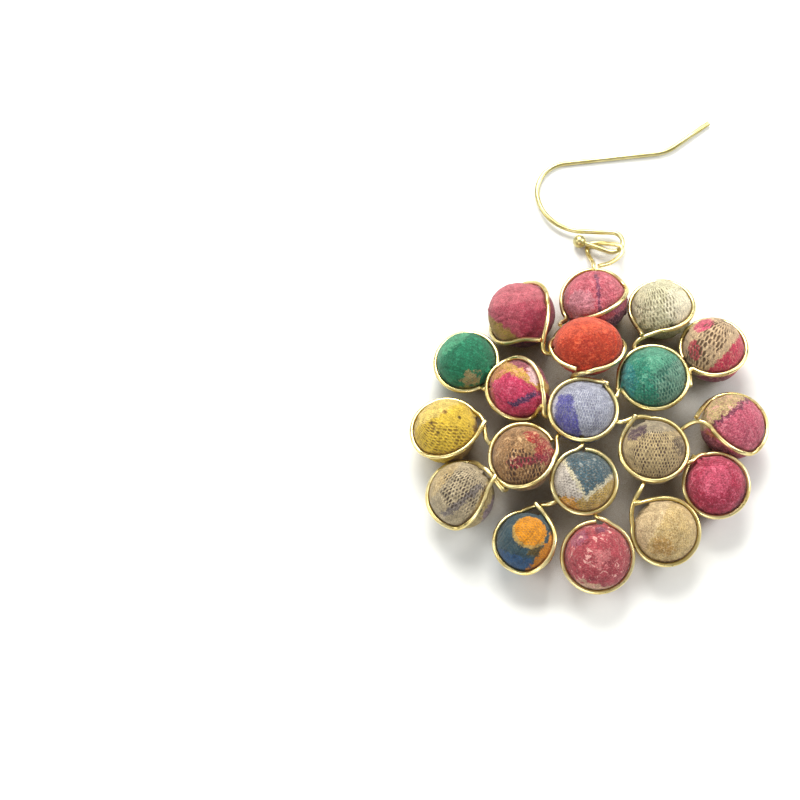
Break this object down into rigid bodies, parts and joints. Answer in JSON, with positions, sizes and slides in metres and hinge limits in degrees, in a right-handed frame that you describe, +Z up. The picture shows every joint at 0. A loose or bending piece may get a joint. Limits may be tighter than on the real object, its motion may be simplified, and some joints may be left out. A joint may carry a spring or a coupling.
{
  "type": "beaded drop earring",
  "caption": "Pierced-ear drop earring: a cluster of cloth-wound round beads in bent wire loops on a wire eye and a ball-end ear wire, lying on its back.",
  "frame": {"origin": "on the surface on which the earring lies, under the middle of its box", "axes": "+Z up, out of the cluster's face; +Y towards the ear wire, which is the top when worn; +X to the right as the face is seen"},
  "size_m": [0.0516, 0.075, 0.0124],
  "materials": {
    "cloth_top_pink": "wound woven cloth, matt",
    "cloth_white": "wound woven cloth, matt",
    "cloth_red_beige": "wound woven cloth, matt",
    "cloth_pink": "wound woven cloth, matt",
    "cloth_magenta": "wound woven cloth, matt",
    "cloth_tan": "wound woven cloth, matt",
    "cloth_rose": "wound woven cloth, matt",
    "cloth_blue_orange": "wound woven cloth, matt",
    "cloth_taupe": "wound woven cloth, matt",
    "cloth_yellow": "wound woven cloth, matt",
    "cloth_green": "wound woven cloth, matt",
    "cloth_raspberry": "wound woven cloth, matt",
    "cloth_vermilion": "wound woven cloth, matt",
    "cloth_teal": "wound woven cloth, matt",
    "cloth_khaki": "wound woven cloth, matt",
    "cloth_slate": "wound woven cloth, matt",
    "cloth_red_tan": "wound woven cloth, matt",
    "cloth_hot_pink": "wound woven cloth, matt",
    "cloth_lavender": "wound woven cloth, matt",
    "loop_wire": "pale gold plate, polished",
    "ear_wire": "pale gold plate, polished"
  },
  "bodies": {
    "root": {"bead_top_pink": "cloth_top_pink", "bead_white": "cloth_white", "bead_red_beige": "cloth_red_beige", "bead_pink": "cloth_pink", "bead_magenta": "cloth_magenta", "bead_tan": "cloth_tan", "bead_rose": "cloth_rose", "bead_blue_orange": "cloth_blue_orange", "bead_taupe": "cloth_taupe", "bead_yellow": "cloth_yellow", "bead_green": "cloth_green", "bead_raspberry": "cloth_raspberry", "bead_vermilion": "cloth_vermilion", "bead_teal": "cloth_teal", "bead_khaki": "cloth_khaki", "bead_slate": "cloth_slate", "bead_red_tan": "cloth_red_tan", "bead_hot_pink": "cloth_hot_pink", "bead_lavender": "cloth_lavender", "loop_top_pink": "loop_wire", "loop_white": "loop_wire", "loop_red_beige": "loop_wire", "loop_pink": "loop_wire", "loop_magenta": "loop_wire", "loop_tan": "loop_wire", "loop_rose": "loop_wire", "loop_blue_orange": "loop_wire", "loop_taupe": "loop_wire", "loop_yellow": "loop_wire", "loop_green": "loop_wire", "loop_raspberry": "loop_wire", "loop_vermilion": "loop_wire", "loop_teal": "loop_wire", "loop_khaki": "loop_wire", "loop_slate": "loop_wire", "loop_red_tan": "loop_wire", "loop_hot_pink": "loop_wire", "loop_lavender": "loop_wire", "wire_eye": "loop_wire", "ear_hook": "ear_wire"}
  },
  "joints": []
}
